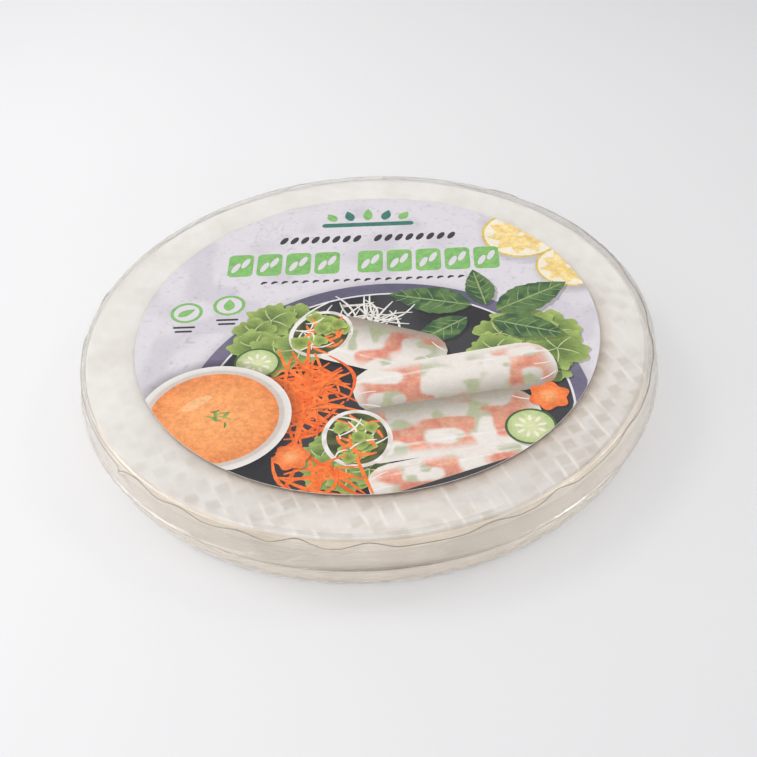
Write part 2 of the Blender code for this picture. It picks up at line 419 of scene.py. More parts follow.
def edge_line(angle, seed):
    """How far a sheet's cut edge stands in from its full radius, 0 to about 1."""
    slow = waves(angle, (2, 3, 5, 8), seed)
    quick = waves(angle, (23, 37, 61, 97), seed + 1)
    return 0.5 + 0.38 * slow + 0.12 * quick


def build_top_sheet(material):
    """The sheet under the lid, with full relief where it shows round the label."""
    thickness = 0.35 * MM
    level = (SHEET_LOW[2] + SHEET_HIGH[2]) / 2
    segments = 720
    angle = np.arange(segments) * math.tau / segments
    shares = np.concatenate([np.linspace(0.1, 0.68, 8), np.linspace(0.7, 1.0, 44)])
    radius = SHEET_RADIUS - 0.3 * MM * edge_line(angle, 11)
    r = shares[:, None] * radius[None, :]
    x, y = SHEET_CENTRE[0] + r * np.cos(angle), SHEET_CENTRE[1] + r * np.sin(angle)
    slow = waves(angle, (2, 3, 5), 3)[None, :] * shares[:, None] ** 2
    flutter = waves(angle, (7, 11, 13), 4)[None, :] * smoothstep(0.85, 1.0, shares)[:, None]
    calm = smoothstep(1.0, 0.96, shares)[:, None]
    z = level + 0.10 * MM * slow + 0.06 * MM * flutter + 0.06 * MM * calm * weave_relief(x, y)
    points, faces = thin_disc(x, y, z, (*SHEET_CENTRE, level), thickness)
    piece = add_piece("top_sheet", points, faces, material)
    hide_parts("rice_paper_top_sheet")
    return piece


SHEET_COUNT = 33


def build_stack(material):
    """The sheets below the top one, each a thin wavy disc with its own slightly uneven edge."""
    pitch = (STACK_HIGH[2] - STACK_LOW[2]) / SHEET_COUNT
    thickness = 0.64 * MM
    segments = 200
    angle = np.arange(segments) * math.tau / segments
    shares = np.array([0.25, 0.7, 0.9, 0.965, 0.99, 1.0])
    random = np.random.default_rng(7)
    all_points, all_faces, count = [], [], 0
    for k in range(SHEET_COUNT):
        level = STACK_LOW[2] + (k + 0.5) * pitch
        lean = random.uniform(0, math.tau)
        radius = STACK_RADIUS - 0.2 * MM + 0.18 * MM * np.cos(angle - lean) * random.uniform(0.2, 1.0)
        radius = radius - 0.2 * MM * edge_line(angle, 40 + 3 * k)
        radius = radius - 1.6 * MM * smoothstep(4, 0, k)
        ripple = 0.012 * MM * waves(angle, (3, 5, 9, 14), 200 + k)
        r = shares[:, None] * radius[None, :]
        x, y = r * np.cos(angle), r * np.sin(angle)
        z = level + ripple[None, :] * smoothstep(0.8, 1.0, shares)[:, None]
        points, faces = thin_disc(x, y, z, (0.0, 0.0, level), thickness)
        all_points.append(points)
        all_faces += [tuple(v + count for v in face) for face in faces]
        count += len(points)
    piece = add_piece("sheet_stack", np.concatenate(all_points), all_faces, material)
    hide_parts("rice_paper_stack")
    return piece


# ---- clear case
def dense(path, longest):
    """The path with points added so that no step is over longest."""
    made = [path[0]]
    for before, after in zip(path, path[1:]):
        steps = max(1, math.ceil(np.linalg.norm(after - before) / longest))
        made += [before + (after - before) * k / steps for k in range(1, steps + 1)]
    return np.array(made)


def shell_warp(seed, radial, vertical):
    """The small unevenness of thermoformed sheet: none at the axis, slow round the rim."""
    def shift(angle, r, z):
        share = np.clip(r / RIM_RADIUS, 0, 1)
        dr = radial * share ** 4 * waves(angle, (2, 3, 5, 7), seed)
        dz = vertical * share ** 2 * waves(angle, (2, 3, 4, 6), seed + 1) * smoothstep(0, 0.4, share)
        return dr, dz
    return shift


def build_lid(material):
    outer = [
        (0.001, PANEL, 0), (CREST_START - 1.6 * MM, PANEL, 3.0 * MM),
        (CREST_START + 0.2 * MM, CREST, 3.0 * MM),
        (RIM_RADIUS, CREST, SHOULDER), (SKIRT_RADIUS, LIP_BOTTOM + LIP_HEIGHT, 0.3 * MM),
        (LIP_RADIUS, LIP_BOTTOM + LIP_HEIGHT - 0.15 * MM, 0.25 * MM), (LIP_RADIUS, LIP_BOTTOM, 0.2 * MM),
        (SKIRT_RADIUS - PLASTIC, LIP_BOTTOM, 0.2 * MM),
    ]
    inner = [
        (RIM_RADIUS - PLASTIC, CREST - PLASTIC, SHOULDER - PLASTIC),
        (CREST_START + 0.2 * MM, CREST - PLASTIC, 3.0 * MM),
        (CREST_START - 1.6 * MM, PANEL - PLASTIC, 3.0 * MM), (0.001, PANEL - PLASTIC, 0),
    ]
    path = dense(rounded(outer + inner), 3 * MM)
    rings = turn(path, 360, shell_warp(21, 0.05 * MM, 0.03 * MM))
    points, faces = capped_body(rings[::-1], (0, 0, PANEL - PLASTIC), (0, 0, PANEL))
    piece = add_piece("lid_shell", points, faces, material)
    # Painted shade: the 'edge' attribute darkens a band along the lip's underside, strongest at the front of
    # the pack and faint round the rest.
    low = np.exp(-((points[:, 2] - LIP_BOTTOM) / (0.3 * MM)) ** 2)
    low *= 0.12 + 0.88 * bell(np.arctan2(points[:, 1], points[:, 0]), math.radians(272), math.radians(17))
    mark = piece.data.attributes.new("edge", "FLOAT", "POINT")
    mark.data.foreach_set("value", (0.9 * low).astype(np.float32))
    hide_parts("case_lid")
    return piece


def build_tray(material):
    foot = FOOT_INNER + 0.5 * MM
    outer = [
        (TRAY_MOUTH, TRAY_TOP, 0.15 * MM), (TRAY_WALL, 0.0, TRAY_FILLET), (foot, 0.0, 0.4 * MM),
        (foot - 1.0 * MM, FLOOR_RISE, 0.4 * MM), (0.001, FLOOR_RISE, 0),
    ]
    inner = [
        (0.001, FLOOR_RISE + PLASTIC, 0), (foot - 0.8 * MM, FLOOR_RISE + PLASTIC, 0.4 * MM),
        (foot + 0.4 * MM, PLASTIC, 0.4 * MM), (TRAY_WALL - PLASTIC, PLASTIC, TRAY_FILLET - PLASTIC),
        (TRAY_MOUTH - PLASTIC, TRAY_TOP, 0.15 * MM),
    ]
    path = dense(rounded(inner + outer), 3 * MM)
    rings = turn(path, 360, shell_warp(31, 0.03 * MM, 0.0))
    points, faces = capped_body(rings[::-1], (0, 0, FLOOR_RISE), (0, 0, FLOOR_RISE + PLASTIC))
    piece = add_piece("tray_shell", points, faces, material)
    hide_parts("case_tray")
    return piece


# ---- shrink film
FILM = 0.07 * MM
FILM_GAP = 0.1 * MM
PINCH = math.radians(217)


def bell(angle, centre, width):
    """A bump of height 1 at centre, falling to nothing about two widths away; angles in radians."""
    off = (angle - centre + math.pi) % math.tau - math.pi
    return np.exp(-(off / width) ** 2)


def film_path():
    """Where the film lies (r, z) when it is smooth, from over the lid's rim down to the tray's foot."""
    off = FILM_GAP + FILM / 2
    corners = [
        (CREST_START, CREST + off, 0), (RIM_RADIUS + off, CREST + off, SHOULDER + off),
        (SKIRT_RADIUS + off + 0.05 * MM, LIP_BOTTOM + LIP_HEIGHT + 0.3 * MM, 0.8 * MM),
        (LIP_RADIUS + off, LIP_BOTTOM + LIP_HEIGHT, 0.3 * MM),
        (LIP_RADIUS + off, LIP_BOTTOM - off, 0.4 * MM),
        (TRAY_WALL + 1.3 * MM, LIP_BOTTOM - 3.2 * MM, 1.0 * MM),
        (TRAY_WALL + off, TRAY_FILLET + 2.0 * MM, 1.0 * MM),
        (TRAY_WALL + off, TRAY_FILLET, 0),
    ]
    path = list(rounded(corners))
    centre = np.array((TRAY_WALL - TRAY_FILLET, TRAY_FILLET))
    for turn_by in np.radians(np.arange(-8, -60, -8)):
        path.append(centre + (TRAY_FILLET + off) * np.array((math.cos(turn_by), math.sin(turn_by))))
    return np.array(path)


LAP_MIDDLE = math.radians(8)
EDGE_PEAKS = (12, 27, 36, 55, 71, 82, 104, 127, 143, 163, 178, 196, 222, 233, 245.5, 256, 268.5, 290.5, 304,
              325, 341, 355)


def film_start(angle):
    """How far along its path the film's top edge lies: low runs with sharp peaks between them."""
    lap = bell(angle, LAP_MIDDLE, math.radians(42))
    peaks = np.zeros_like(angle)
    for k, peak in enumerate(EDGE_PEAKS):
        off = np.abs((angle - math.radians(peak) + math.pi) % math.tau - math.pi)
        tall = 0.50 + 0.30 * bell(np.array(math.radians(peak)), math.radians(270), math.radians(38))
        slope = (1 - smoothstep(0, math.radians(5.2), off)) ** 0.8
        peaks = np.maximum(peaks, (tall - 0.12 * (k % 3)) * slope)
    low = 5.6 - 4.2 * lap + 0.16 * waves(angle, (19, 31, 47), 61)
    return (low - (3.9 - 3.0 * lap) * peaks) * MM


def film_wrinkles(angle, along, length):
    """How far the film stands off its smooth path, in metres, at least 0."""
    a, s = angle[None, :], along[:, None]
    share = s / length
    near_top = np.exp(-(share / 0.10) ** 2)
    lift = 0.10 * (1 + waves(a, (9, 17, 31), 71)) * near_top
    low = smoothstep(0.74, 0.95, share)
    crinkle = np.clip(waves(a + 0.5 * share, (41, 67, 97, 139), 72) + 0.25, 0, None)
    lift = lift + 0.30 * low * crinkle
    left = bell(a, math.radians(238), math.radians(16)) * smoothstep(0.25, 0.45, share)
    fold = np.clip(np.sin(34 * (a + 0.55 * share) + 2.0 * np.sin(7 * a)) - 0.45, 0, None) * 1.8
    lift = lift + 0.55 * left * fold * smoothstep(1.0, 0.85, share)
    for lean, height in ((-0.10, 0.5), (0.0, 0.8), (0.13, 0.6)):
        crease = bell(a - lean * share, PINCH, math.radians(0.7)) * np.exp(-((share - 0.10) / 0.16) ** 2)
        lift = lift + height * crease
    return lift * MM


def build_film(material):
    segments = 960
    rows = 48
    angle = np.arange(segments) * math.tau / segments
    path = dense(film_path(), 0.6 * MM)
    steps = np.concatenate([[0.0], np.cumsum(np.linalg.norm(np.diff(path, axis=0), axis=1))])
    start = film_start(angle)
    end = steps[-1] - (1.7 + 0.8 * np.abs(waves(angle, (13, 31, 57, 83), 81)) * 2) * MM
    share = np.linspace(0, 1, rows) ** 1.3
    along = start[None, :] + share[:, None] * (end - start)[None, :]
    r = np.interp(along, steps, path[:, 0])
    z = np.interp(along, steps, path[:, 1])
    after, before = along + 0.3 * MM, along - 0.3 * MM
    ahead_r = np.interp(after, steps, path[:, 0]) - np.interp(before, steps, path[:, 0])
    ahead_z = np.interp(after, steps, path[:, 1]) - np.interp(before, steps, path[:, 1])
    run = np.hypot(ahead_r, ahead_z)
    out_r, out_z = -ahead_z / run, ahead_r / run
    lift = film_wrinkles(angle, share * steps[-1], steps[-1])
    edge = np.exp(-(share[:, None] * (end - start)[None, :] / (0.22 * MM)) ** 2)
    bead = 0.04 * MM * edge

    def skin(side):
        off = lift + side * (FILM / 2 + bead)
        skin_r = np.minimum(r + out_r * off, BAND_HIGH[0] - 0.05 * MM)
        skin_z = np.minimum(z + out_z * off, BAND_HIGH[2] - 0.02 * MM)
        return np.stack([skin_r * np.cos(angle), skin_r * np.sin(angle), skin_z], axis=-1)

    rings = np.concatenate([skin(1), skin(-1)[::-1]])
    faces = strip_faces(len(rings), segments, wrap_rows=True)
    piece = add_piece("shrink_film", rings.reshape(-1, 3), [face[::-1] for face in faces], material)
    mark = piece.data.attributes.new("edge", "FLOAT", "POINT")
    mark.data.foreach_set("value", np.concatenate([edge, edge[::-1]]).astype(np.float32).ravel())
    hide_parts("shrink_band")
    return piece


# ---- stage, light, camera
def build_stage(material):
    mesh = bpy.data.meshes.new("floor")
    half = 8.0
    low = -0.05 * MM
    corners = [(-half, -half, low), (half, -half, low), (half, half, low), (-half, half, low)]
    mesh.from_pydata(corners, [], [(0, 1, 2, 3)])
    mesh.materials.append(material)
    floor = bpy.data.objects.new("floor", mesh)
    bpy.context.scene.collection.objects.link(floor)


def area_light(name, place, target, size, power, colour):
    lamp = bpy.data.lights.new(name, "AREA")
    lamp.shape = "DISK"
    lamp.size = size
    lamp.energy = power
    lamp.color = colour
    made = bpy.data.objects.new(name, lamp)
    made.location = place
    made.rotation_euler = (Vector(target) - Vector(place)).to_track_quat("-Z", "Y").to_euler()
    bpy.context.scene.collection.objects.link(made)


def build_world():
    """A bright tent of light: dimmer low down on the camera's side, a little cooler overhead."""
    world = bpy.data.worlds.new("studio")
    bpy.context.scene.world = world
    nodes = Nodes(world, "OutputWorld")
    seen = nodes.add("TexCoord").outputs["Generated"]
    brightest = Vector((-0.45, 0.62, 0.65)).normalized()
    towards = nodes.add("VectorMath", {0: seen, 1: brightest}, operation="DOT_PRODUCT").outputs["Value"]
    bright = nodes.add("MapRange", {
        "Value": towards, "From Min": -0.75, "From Max": 0.85, "To Min": 0.77, "To Max": 0.90,
    }, interpolation_type="SMOOTHSTEP").outputs["Result"]
    sky = nodes.add("Background", {"Color": (0.985, 0.985, 1.0, 1.0), "Strength": bright})
    nodes.finish(sky.outputs[0])


def allow_bounces():
    """A ray to a sheet and back out crosses six clear skins each way, more than Blender allows at first."""
    cycles = bpy.context.scene.cycles
    cycles.transparent_max_bounces = 32
    cycles.max_bounces = 16
    cycles.transmission_bounces = 16


def build_lights():
    allow_bounces()
    build_world()
    area_light("key", (-0.62, 0.30, 0.80), (-0.05, 0, 0), 0.38, 2.8, (1.0, 0.99, 0.98))
    area_light("side", (-0.95, -0.30, 0.30), (0, 0, 0.01), 1.0, 4.4, (1.0, 0.985, 0.97))
    area_light("low", (0.78, -0.39, 0.20), (0, 0, 0.01), 0.20, 1.7, (1.0, 0.99, 0.98))
    area_light("accent", (0.55, 0.20, 0.62), (0.05, -0.05, 0), 0.13, 0.75, (1.0, 1.0, 1.0))


VIEW_ELEVATION = math.radians(41.08)
VIEW_ROLL = math.radians(3.54)
VIEW_DISTANCE = 0.5138
VIEW_ASIDE = 0.0036
VIEW_BELOW = -0.0198
SENSOR = 36.0
LENS = 61.82


def build_camera():
    forward = Vector((0, math.cos(VIEW_ELEVATION), -math.sin(VIEW_ELEVATION)))
    right = Vector((1, 0, 0))
    up = Vector((0, math.sin(VIEW_ELEVATION), math.cos(VIEW_ELEVATION)))
    target = Vector((0, 0, CREST))
    data = bpy.data.cameras.new("camera")
    data.lens = LENS
    data.sensor_width = SENSOR
    data.clip_start = 0.01
    camera = bpy.data.objects.new("camera", data)
    place = target - forward * VIEW_DISTANCE + right * VIEW_ASIDE + up * VIEW_BELOW
    axes = Matrix((right, up, -forward)).transposed()
    camera.matrix_world = Matrix.Translation(place) @ (axes @ Matrix.Rotation(-VIEW_ROLL, 3, "Z")).to_4x4()
    bpy.context.scene.collection.objects.link(camera)
    bpy.context.scene.camera = camera


# ---- label print
def noise_field(x, y, size, seed):
    """Smooth noise, 0 to 1, over points in mm, with blots about size across."""
    table = np.random.default_rng(seed).uniform(0, 1, (64, 64))
    u, v = x / size + 17.3, y / size + 41.7
    column, row = np.floor(u).astype(int), np.floor(v).astype(int)
    fu, fv = u - column, v - row
    fu, fv = fu * fu * (3 - 2 * fu), fv * fv * (3 - 2 * fv)
    pick = lambda i, j: table[(column + i) % 64, (row + j) % 64]
    low = pick(0, 0) * (1 - fu) + pick(1, 0) * fu
    high = pick(0, 1) * (1 - fu) + pick(1, 1) * fu
    return low * (1 - fv) + high * fv


def blend(below, above, share):
    share = np.asarray(share)[..., None]
    return below * (1 - share) + above * share


def heading(degrees):
    """(cos, sin) of an angle in degrees."""
    return math.cos(math.radians(degrees)), math.sin(math.radians(degrees))


def spin(points, turn_by, place):
    """Points in mm turned by degrees, then moved to place."""
    c, s = heading(turn_by)
    return np.asarray(points) @ np.array([[c, s], [-s, c]]) + place


def oval(place, wide, high=None, turn_by=0.0, points=48):
    a = np.arange(points) * math.tau / points
    high = wide if high is None else high
    return spin(np.stack([wide * np.cos(a), high * np.sin(a)], -1), turn_by, place)


def blob(place, radius, swing, lobes, seed, turn_by=0.0, points=90):
    """A ruffled round outline, such as a lettuce leaf's."""
    a = np.arange(points) * math.tau / points
    r = radius * (1 + swing * waves(a, lobes, seed))
    return spin(np.stack([r * np.cos(a), r * np.sin(a)], -1), turn_by, place)


def leaf(place, length, width, turn_by, teeth=0, bend=0.0):
    """A leaf from its stalk at place; teeth is how many notches each side has."""
    t = np.linspace(0, 1, 26)
    half = width / 2 * np.sin(math.pi * t ** 0.8) ** 0.9
    notch = 1 - 0.10 * (np.mod(t * teeth, 1.0)) if teeth else 1.0
    curve = bend * np.sin(math.pi * t)
    upper = np.stack([t * length, curve + half * notch], -1)
    lower = np.stack([t * length, curve - half * notch], -1)
    return spin(np.concatenate([upper, lower[-2:0:-1]]), turn_by, place)


def strip(start, end, width, bend=0.0, steps=9):
    """A strip that bows to one side, a little narrower at its ends."""
    start, end = np.asarray(start, float), np.asarray(end, float)
    t = np.linspace(0, 1, steps)[:, None]
    run = end - start
    side = np.array((-run[1], run[0])) / np.linalg.norm(run)
    middle = start + run * t + side * bend * np.sin(math.pi * t)
    half = width / 2 * (0.55 + 0.45 * np.sin(math.pi * t))
    return np.concatenate([middle + side * half, (middle - side * half)[::-1]])


def block(place, wide, high, corner, turn_by=0.0):
    """A rectangle with round corners."""
    points = []
    for k, (sx, sy) in enumerate(((1, 1), (-1, 1), (-1, -1), (1, -1))):
        for a in np.radians(np.linspace(90 * k, 90 * k + 90, 5)):
            points.append((sx * (wide / 2 - corner) + corner * math.cos(a),
                           sy * (high / 2 - corner) + corner * math.sin(a)))
    return spin(points, turn_by, place)


class Print:
    """Shapes laid over one another on the label, each with a paint(below, x, y) that gives its colours."""

    def __init__(self):
        self.shapes = []

    def lay(self, outline, paint):
        if not callable(paint):
            colour = linear(*paint)
            paint = lambda below, x, y: np.broadcast_to(colour, below.shape)
        self.shapes.append((np.asarray(outline, float), paint))

    def shade(self, outline, strength, centre, inner, outer):
        """A soft dark patch, full inside inner and gone at outer, measured from centre."""
        def paint(below, x, y):
            away = np.hypot(x - centre[0], y - centre[1])
            return below * (1 - strength * (1 - smoothstep(inner, outer, away)))[..., None]
        self.lay(outline, paint)


def darker(share):
    """Paint for a shadow: what is below it, times share."""
    return lambda below, x, y: below * share


def tinted(colour, other, size, seed):
    """Paint that wanders between two colours in blots of the given size."""
    first, second = linear(*colour), linear(*other)
    def paint(below, x, y):
        return blend(first, second, smoothstep(0.25, 0.75, noise_field(x, y, size, seed)))
    return paint


def ringed(centre, radius, inner, outer, power=1.0):
    """Paint that goes from one colour at the centre to another at the radius."""
    first, second = linear(*inner), linear(*outer)
    def paint(below, x, y):
        away = np.clip(np.hypot(x - centre[0], y - centre[1]) / radius, 0, 1) ** power
        return blend(first, second, away)
    return paint


STONE = (227, 222, 226)
TEAL = (58, 122, 106)
GREEN = (134, 192, 108)
CHARCOAL = (56, 55, 58)


def print_ground(sheet):
    """Pale stone with faint veins, blots and specks."""
    def paint(below, x, y):
        tone = blend(linear(*STONE), linear(214, 208, 214), smoothstep(0.45, 0.8, noise_field(x, y, 11, 1)))
        vein = np.abs(noise_field(x, y, 7, 2) + 0.4 * noise_field(x, y, 2.5, 3) - 0.7)
        tone = blend(tone, linear(196, 190, 198), 0.5 * (1 - smoothstep(0.0, 0.03, vein)))
        return blend(tone, linear(176, 170, 178), 0.5 * smoothstep(0.86, 0.95, noise_field(x, y, 1.6, 4)))
    sheet.lay(oval((0, 0), LABEL_RADIUS / MM, points=256), paint)


def print_title(sheet):
    """Plain ornament where a pack has its words: leaves, rows of grains, and a frieze of green tiles."""
    sheet.lay(block((0, 71.5), 40, 3.0, 1.5), TEAL)
    for k in range(5):
        fan = leaf((-14 + 7 * k, 74.5), 9 - abs(k - 2), 4.2, 90 - 16 * (k - 2))
        sheet.lay(fan, TEAL if k % 2 else GREEN)
    for k in range(17):
        if k != 8:
            sheet.lay(oval((-36 + 4.5 * k, 61), 2.8, 1.35, 62, 20), CHARCOAL)
    for k in range(9):
        middle = (-53.5 + 12.2 * k + (6.0 if k > 3 else 0.0), 44)
        sheet.lay(block(middle, 10.6, 15.5, 2.2), GREEN)
        for side in (-1, 1):
            place = (middle[0] + 2.0 * side, middle[1] + 1.6 * side)
            sheet.lay(oval(place, 3.6, 1.3, 68, 20), STONE)
    for k in range(21):
        sheet.lay(strip((-44 + 4.3 * k, 30.5), (-41.4 + 4.3 * k, 31.7), 1.5, 0.5), CHARCOAL)


def print_marks(sheet):
    """Two green rings, one with a leaf and one with a drop."""
    for k, place in enumerate(((-73, 13), (-56, 17))):
        sheet.lay(oval(place, 6.6), GREEN)
        sheet.lay(oval(place, 5.2), STONE)
        if k:
            sheet.lay(leaf((place[0], place[1] - 3.6), 7.6, 4.6, 90), GREEN)
        else:
            sheet.lay(leaf((place[0] - 3.4, place[1] - 2.2), 8.0, 3.8, 33), GREEN)
        for row in range(2):
            sheet.lay(block((place[0], place[1] - 9.4 - 2.6 * row), 9 - 2 * row, 1.2, 0.5), CHARCOAL)


def print_citrus(sheet, place, radius):
    """A round slice: rind, pith, and segments."""
    sheet.shade(oval((place[0] + 1.5, place[1] - 2), radius + 4), 0.25, (place[0] + 1.5, place[1] - 2),
                radius - 1, radius + 4)
    sheet.lay(oval(place, radius, points=72), ringed(place, radius, (244, 212, 120), (226, 196, 92)))
    sheet.lay(oval(place, radius * 0.93, points=72), (248, 240, 214))
    for k in range(10):
        turn_by = 36 * k + 7
        c, s = heading(turn_by)
        stalk = (place[0] + 1.2 * c, place[1] + 1.2 * s)
        wedge = leaf(stalk, radius * 0.80, radius * 0.44, turn_by)
        sheet.lay(wedge, tinted((244, 212, 132), (250, 226, 160), 2.0, 20 + k))


def print_plate(sheet, place, radius):
    """A dark plate: violet-grey rim, white line, charcoal face with a soft sheen."""
    sheet.shade(oval(place, radius + 5, points=120), 0.22, place, radius - 2, radius + 5)
    sheet.lay(oval(place, radius, points=120), tinted((120, 114, 136), (98, 94, 116), 14, 31))
    sheet.lay(oval(place, radius - 6.4, points=120), (232, 230, 234))
    sheet.lay(oval(place, radius - 7.3, points=120), tinted((62, 62, 64), (42, 42, 46), 16, 32))


def print_leaf(sheet, place, length, width, turn_by, seed, teeth=7):
    """A herb leaf: dark shade below, two tones of green, a pale midrib and side veins."""
    sheet.lay(leaf((place[0] + 0.8, place[1] - 1.4), length, width * 1.05, turn_by, teeth),
              darker(0.62))
    sheet.lay(leaf(place, length, width, turn_by, teeth), tinted((96, 128, 74), (60, 92, 58), 3.0, seed))
    c, s = heading(turn_by)
    along = lambda a, b: (place[0] + a * c - b * s, place[1] + a * s + b * c)
    sheet.lay(strip(along(0, 0), along(length * 0.92, 0), 0.8), (150, 172, 112))
    for k in range(1, 6):
        for side in (-1, 1):
            start, out = k * length / 6.6, width * 0.36 * math.sin(math.pi * (k / 6.6) ** 0.8)
            sheet.lay(strip(along(start, 0), along(start + length * 0.13, side * out), 0.45, 0.25 * side, 5),
                      (134, 158, 100))


def print_lettuce(sheet, place, radius, seed, turn_by=0.0):
    """Ruffled salad leaves, one over another, each darker at its foot."""
    random = np.random.default_rng(seed)
    for k in range(7):
        spoke = math.radians(turn_by + 51 * k)
        middle = (place[0] + radius * 0.55 * math.cos(spoke), place[1] + radius * 0.55 * math.sin(spoke))
        size = radius * random.uniform(0.42, 0.58)
        ruffle = blob(middle, size, 0.20, (5, 9, 14), seed + 3 * k)
        sheet.lay(ruffle + (0.5, -1.0), darker(0.6))
        sheet.lay(ruffle, ringed(middle, size * 1.1, (92, 118, 58), (168, 190, 104), 1.6))
        for j in range(5):
            out = math.radians(72 * j + 20 * k)
            tip = (middle[0] + size * 0.75 * math.cos(out), middle[1] + size * 0.75 * math.sin(out))
            sheet.lay(strip(middle, tip, 0.55, 0.5, 6), (196, 208, 148))


def print_carrot(sheet, place, radius, turn_by):
    """A carrot slice cut as a flower, with a paler heart."""
    a = np.arange(60) * math.tau / 60
    r = radius * (0.90 + 0.10 * np.cos(6 * a))
    petals = spin(np.stack([r * np.cos(a), r * np.sin(a)], -1), turn_by, place)
    sheet.lay(petals + (0.7, -1.1), darker(0.62))
    sheet.lay(petals, ringed(place, radius, (255, 150, 84), (246, 116, 50), 1.5))
    sheet.lay(oval(place, radius * 0.42), ringed(place, radius * 0.42, (255, 186, 118), (255, 150, 88)))


def print_cucumber(sheet, place, radius, turn_by):
    """A cucumber slice: dark skin, pale flesh, a ring of seeds."""
    sheet.lay(oval((place[0] + 0.8, place[1] - 1.2), radius), darker(0.62))
    sheet.lay(oval(place, radius), (72, 104, 58))
    sheet.lay(oval(place, radius * 0.90), ringed(place, radius, (222, 228, 176), (176, 200, 128), 2.0))
    for k in range(9):
        spoke = math.radians(40 * k + turn_by)
        seed = (place[0] + radius * 0.46 * math.cos(spoke), place[1] + radius * 0.46 * math.sin(spoke))
        sheet.lay(oval(seed, radius * 0.17, radius * 0.07, math.degrees(spoke), 12), (244, 242, 214))


def print_parcel(sheet, place, length, width, turn_by, seed):
    """A closed wrapper round its filling: milky, with green and orange showing through, and folds."""
    body = block(place, length, width, width * 0.42, turn_by)
    sheet.lay(body + (1.4, -3.0), darker(0.42))
    c, s = heading(turn_by)

    def paint(below, x, y):
        along = (x - place[0]) * c + (y - place[1]) * s
        across = (-(x - place[0]) * s + (y - place[1]) * c) / (width / 2)
        tone = blend(linear(150, 141, 124), linear(240, 234, 224), smoothstep(-1.2, 0.3, across))
        core = smoothstep(1.0, 0.55, np.abs(across)) * smoothstep(length / 2, length / 2 - 7, np.abs(along))
        warm = smoothstep(0.52, 0.66, noise_field(x, y, 6.5, seed)) * core
        herb = smoothstep(0.55, 0.72, noise_field(x + 31, y, 4.5, seed + 1)) * core
        bright = blend(linear(252, 168, 122), linear(246, 106, 58), noise_field(x, y, 3.0, seed + 5))
        tone = blend(tone, bright * (0.75 + 0.25 * across)[..., None], 0.8 * warm)
        tone = blend(tone, linear(150, 166, 104), 0.6 * herb * (1 - warm))
        gleam = smoothstep(0.07, 0.0, np.abs(across - 0.5)) * noise_field(along, across, 4, seed + 2)
        return blend(tone, linear(252, 250, 246), 0.8 * gleam)

    sheet.lay(body, paint)
    for side in (-1, 1):
        for k in range(3):
            start = (side * (length / 2 - 1.5), (k - 1) * width * 0.22)
            end = (side * (length / 2 - 8.5), (k - 1) * width * 0.34)
            start, end = spin([start, end], turn_by, place)
            sheet.lay(strip(start, end, 0.5, 0.4, 6), (244, 240, 230))


def print_shreds(sheet, place, spread, count, colour, other, width, length, seed):
    """A loose heap of thin strips."""
    random = np.random.default_rng(seed)
    for k in range(count):
        middle = np.array(place) + random.normal(0, 1, 2) * spread
        turn_by = random.uniform(0, math.tau)
        half = np.array((math.cos(turn_by), math.sin(turn_by))) * length * random.uniform(0.35, 0.6)
        bend = random.uniform(-0.22, 0.22) * length
        share = random.uniform(0, 1)
        mixed = [c + (o - c) * share for c, o in zip(colour, other)]
        if k % 3 == 0:
            sheet.lay(strip(middle - half + (0.3, -0.7), middle + half + (0.3, -0.7), width, bend),
                      darker(0.7))
        sheet.lay(strip(middle - half, middle + half, width, bend), mixed)


def print_dish(sheet, place, radius):
    """A small dish of orange sauce."""
    under = oval((place[0] - 2, place[1] - 2), radius + 6, points=80)
    sheet.shade(under, 0.45, place, radius - 1, radius + 6)
    for inset, reach, inner, outer, power in (
        (0, 0, (188, 178, 168), (240, 236, 228), 3.0),
        (2.6, 2, (196, 150, 116), (214, 204, 194), 1.0),
        (4.6, 4, (255, 172, 104), (238, 142, 78), 2.2),
    ):
        sheet.lay(oval(place, radius - inset, points=80), ringed(place, radius - reach, inner, outer, power))
    sheet.lay(oval((place[0] - 7, place[1] + 8), 6.5, 2.4, 38), (255, 192, 132))
    print_shreds(sheet, place, (3.0, 2.5), 9, (92, 140, 70), (150, 186, 96), 0.9, 4.5, 91)


def print_cut_roll(sheet, place, length, width, turn_by, seed):
    """Half a roll: milky wrapper, and a cut face full of leaves, carrot and noodles."""
    random = np.random.default_rng(seed)
    print_parcel(sheet, place, length, width, turn_by, seed)
    c, s = heading(turn_by)
    face = (place[0] + length * 0.42 * c, place[1] + length * 0.42 * s)
    wrapper = tinted((246, 242, 236), (222, 214, 202), 3, seed)
    filling = tinted((96, 102, 58), (58, 66, 40), 3, seed + 1)
    sheet.lay(oval(face, width * 0.44, width * 0.52, turn_by), wrapper)
    sheet.lay(oval(face, width * 0.38, width * 0.46, turn_by), filling)
    for k in range(34):
        off = random.uniform(-1, 1, 2) * width * (0.27, 0.34)
        middle = spin([off], turn_by, face)[0]
        if k % 3 == 0:
            size = width * random.uniform(0.09, 0.15)
            ruffle = blob(middle, size, 0.25, (3, 5, 8), seed + k, points=30)
            sheet.lay(ruffle + (0.3, -0.7), darker(0.6))
            sheet.lay(ruffle, ringed(middle, size * 1.2, (118, 140, 60), (186, 204, 112), 1.3))
            continue
        spoke = random.uniform(0, math.tau)
        half = np.array((math.cos(spoke), math.sin(spoke))) * width * random.uniform(0.10, 0.22)
        colour = ((255, 128, 58), (246, 242, 228))[k % 3 - 1]
        sheet.lay(strip(middle - half, middle + half, 1.5 if k % 3 == 1 else 0.8, width * 0.05, 6), colour)


